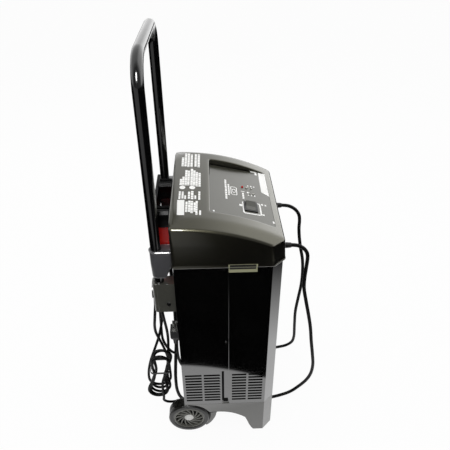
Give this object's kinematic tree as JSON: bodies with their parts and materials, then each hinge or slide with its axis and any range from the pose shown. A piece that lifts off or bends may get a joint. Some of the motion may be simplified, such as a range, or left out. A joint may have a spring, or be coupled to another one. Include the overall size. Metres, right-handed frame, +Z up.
{
  "type": "wheeled car battery charger",
  "caption": "Upright wheeled battery charger: vented steel cabinet on a moulded base, sloping console with recessed panel and rocker switch, U-shaped handle, clamps and leads.",
  "frame": {"origin": "on the ground below the middle of the charger without its leads and cord", "axes": "+Z up, +Y towards the handle at the back, +X the user's right when standing at the handle looking over the console"},
  "size_m": [0.33, 0.4378, 0.9707],
  "materials": {
    "black_gloss_paint": "glossy black powder coat on sheet steel",
    "black_tube": "black powder coat on steel tube",
    "olive_grey_plastic": "moulded, satin dark grey",
    "base_plastic": "moulded, satin dark grey",
    "overlay": "printed satin overlay without lettering",
    "black_plastic": "satin black",
    "red_plastic": "satin red",
    "red_lens": "translucent red",
    "clear_lens": "clear",
    "hub_plastic": "satin dark grey",
    "tyre_plastic": "ribbed",
    "zinc_steel": "zinc plated",
    "core_steel": "stacked laminations",
    "copper": "copper",
    "fin_aluminium": "extruded",
    "diode_case": "press-fit diode",
    "board": "printed circuit board",
    "cord_jacket": "black jacket",
    "blade_brass": "bright"
  },
  "bodies": {
    "charger": {"base_moulding": "base_plastic", "wheel_axle": "zinc_steel", "rear_shell": "black_gloss_paint", "front_shell": "black_gloss_paint", "console_cover": "olive_grey_plastic", "control_panel": "overlay", "switch_bezel": "black_plastic", "red_indicator_lens": "red_lens", "clear_indicator_lenses": "clear_lens", "circuit_board": "board", "handle_tube": "black_tube", "handle_end_plugs": "black_plastic", "left_handle_bracket": "base_plastic", "right_handle_bracket": "base_plastic", "cord_hook": "base_plastic", "handle_screws": "zinc_steel", "shell_screws": "zinc_steel", "console_screws": "zinc_steel", "chassis_plate": "zinc_steel", "transformer_core": "core_steel", "primary_winding": "copper", "secondary_winding": "copper", "transformer_strap": "zinc_steel", "rectifier_heat_sink": "fin_aluminium", "rectifier_diodes": "diode_case", "thermal_breaker": "black_plastic", "fan_frame": "black_plastic", "red_clamp_fixed_arm": "red_plastic", "red_clamp_pin": "zinc_steel", "red_clamp_spring": "zinc_steel", "red_clamp_fixed_contact": "copper", "black_clamp_fixed_arm": "black_plastic", "black_clamp_pin": "zinc_steel", "black_clamp_spring": "zinc_steel", "black_clamp_fixed_contact": "copper", "positive_lead": "cord_jacket", "negative_lead": "cord_jacket", "lead_strain_reliefs": "black_plastic", "mains_strain_relief": "black_plastic", "mains_cord_lead_in": "cord_jacket", "mains_cord_hank": "cord_jacket", "mains_cord": "cord_jacket", "cord_tie": "black_plastic", "mains_plug": "black_plastic", "plug_blades": "blade_brass"},
    "left_wheel": {"left_wheel_tyre": "tyre_plastic", "left_wheel_hub": "hub_plastic", "left_wheel_cap": "hub_plastic"},
    "right_wheel": {"right_wheel_tyre": "tyre_plastic", "right_wheel_hub": "hub_plastic", "right_wheel_cap": "hub_plastic"},
    "fan": {"fan_rotor": "black_plastic"},
    "rocker": {"switch_rocker": "black_plastic"},
    "red_jaw": {"red_clamp_moving_arm": "red_plastic", "red_clamp_moving_contact": "copper"},
    "black_jaw": {"black_clamp_moving_arm": "black_plastic", "black_clamp_moving_contact": "copper"}
  },
  "joints": [
    {"name": "left_wheel_spin", "type": "hinge", "parent": "charger", "child": "left_wheel", "pos_m": [-0.1455, 0.0889, 0.0517], "axis": [1, 0, 0], "continuous": true},
    {"name": "right_wheel_spin", "type": "hinge", "parent": "charger", "child": "right_wheel", "pos_m": [0.1455, 0.0889, 0.0517], "axis": [1, 0, 0], "continuous": true},
    {"name": "fan_spin", "type": "hinge", "parent": "charger", "child": "fan", "pos_m": [0.09, -0.0045, 0.133], "axis": [1, 0, 0], "continuous": true},
    {"name": "rocker_tilt", "type": "hinge", "parent": "charger", "child": "rocker", "pos_m": [-0.05, -0.06416, 0.62439], "axis": [0, 0.9745, 0.2244], "range_deg": [0, 24]},
    {"name": "red_clamp_open", "type": "hinge", "parent": "charger", "child": "red_jaw", "pos_m": [-0.1, 0.115, 0.62], "axis": [0, -1, 0], "range_deg": [0, 20], "stiffness_Nm_per_rad": 2, "springref_deg": -17.19},
    {"name": "black_clamp_open", "type": "hinge", "parent": "charger", "child": "black_jaw", "pos_m": [0.01, 0.115, 0.62], "axis": [0, -1, 0], "range_deg": [0, 20], "stiffness_Nm_per_rad": 2, "springref_deg": -17.19}
  ]
}
